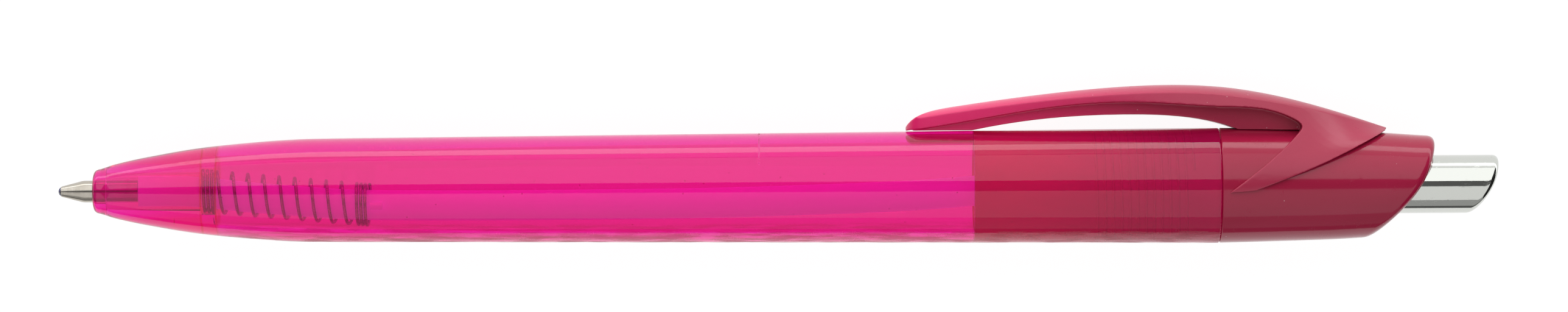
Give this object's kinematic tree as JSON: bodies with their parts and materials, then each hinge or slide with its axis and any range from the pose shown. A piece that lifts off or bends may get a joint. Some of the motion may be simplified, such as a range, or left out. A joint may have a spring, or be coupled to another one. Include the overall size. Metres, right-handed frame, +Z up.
{
  "type": "retractable ballpoint pen",
  "caption": "Slim click-action ballpoint pen with a translucent tapered barrel, opaque rear end, arched pocket clip and plated push button.",
  "frame": {"origin": "on the table, under the middle of the pen's box, with the pen lying at rest on its saddle wing and its clip, tip out", "axes": "+X along the pen from the writing ball to the push button, +Z up from the table, +Y to the side that the clip lies on; the clip points along +Y and about 21 degrees below the horizontal"},
  "size_m": [0.1425, 0.0154, 0.0117],
  "materials": {
    "clear_pink_plastic": "translucent hot-pink moulding, polished",
    "rose_plastic": "opaque deep rose moulding, polished",
    "plated_plastic": "bright chrome plating",
    "white_plastic": "natural acetal, satin",
    "spring_steel": "bright drawn wire",
    "refill_plastic": "clear tube",
    "ink": "dark blue paste",
    "nickel_silver": "turned nickel silver",
    "carbide": "polished ball"
  },
  "bodies": {
    "shell": {"barrel": "clear_pink_plastic", "rear_housing": "rose_plastic", "return_spring": "spring_steel"},
    "button": {"push_button": "plated_plastic", "plunger": "white_plastic"},
    "refill": {"refill_tube": "refill_plastic", "ink_column": "ink", "tip_socket": "nickel_silver"},
    "rotor": {"cam_rotor": "white_plastic"},
    "ball": {"writing_ball": "carbide"},
    "clip": {"pocket_clip": "rose_plastic"}
  },
  "joints": [
    {"name": "button_slide", "type": "slide", "parent": "shell", "child": "button", "axis": [1, 0, 0], "range_m": [-0.0012, 0.0055]},
    {"name": "refill_slide", "type": "slide", "parent": "shell", "child": "refill", "axis": [1, 0, 0], "range_m": [-0.0012, 0.0055], "deforming": ["return_spring"]},
    {"name": "rotor_turn", "type": "hinge", "parent": "refill", "child": "rotor", "pos_m": [0.03435, -0.00199, 0.00603], "axis": [1, 0, 0], "range_deg": [-3.5, 3.5]},
    {"name": "ball_roll", "type": "hinge", "parent": "refill", "child": "ball", "pos_m": [-0.07075, -0.00199, 0.00603], "axis": [0, 0.3578, 0.9338], "continuous": true},
    {"name": "clip_flex", "type": "hinge", "parent": "shell", "child": "clip", "pos_m": [0.06005, 0.00298, 0.00412], "axis": [0, -0.3578, -0.9338], "range_deg": [0, 2.5], "stiffness_Nm_per_rad": 1.5}
  ],
  "couplings": [
    {"joint": "refill_slide", "follows": "button_slide", "ratio": 1}
  ]
}
